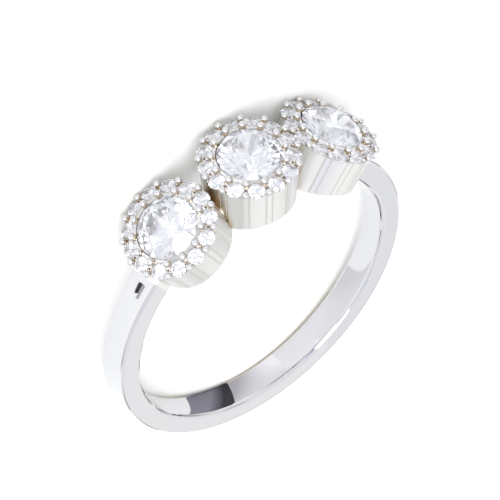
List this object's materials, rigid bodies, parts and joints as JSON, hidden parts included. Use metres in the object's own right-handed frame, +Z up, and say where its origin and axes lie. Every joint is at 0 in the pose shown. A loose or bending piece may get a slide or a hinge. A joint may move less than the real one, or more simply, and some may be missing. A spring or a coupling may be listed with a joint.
{
  "type": "three stone ring",
  "caption": "Finger ring with a row of round heads on a plain band, each head a large brilliant-cut stone inside a halo of small stones with beads raised between them.",
  "frame": {"origin": "on the surface that the ring lies on, at the middle of the ring's length and of the row of heads", "axes": "+X along the row of heads, +Y from the foot of the band to the middle head, +Z up from the surface that the ring lies on; the finger's axis leans 6.1 degrees from +Z"},
  "size_m": [0.02, 0.0224, 0.0061],
  "materials": {
    "polished_silver": "silver with a bright polished rhodium plate",
    "clear_stone": "clear colourless cubic zirconia, polished facets"
  },
  "bodies": {
    "root": {"ring_mount": "polished_silver", "left_stone": "clear_stone", "centre_stone": "clear_stone", "right_stone": "clear_stone", "left_halo_stones": "clear_stone", "centre_halo_stones": "clear_stone", "right_halo_stones": "clear_stone"}
  },
  "joints": []
}
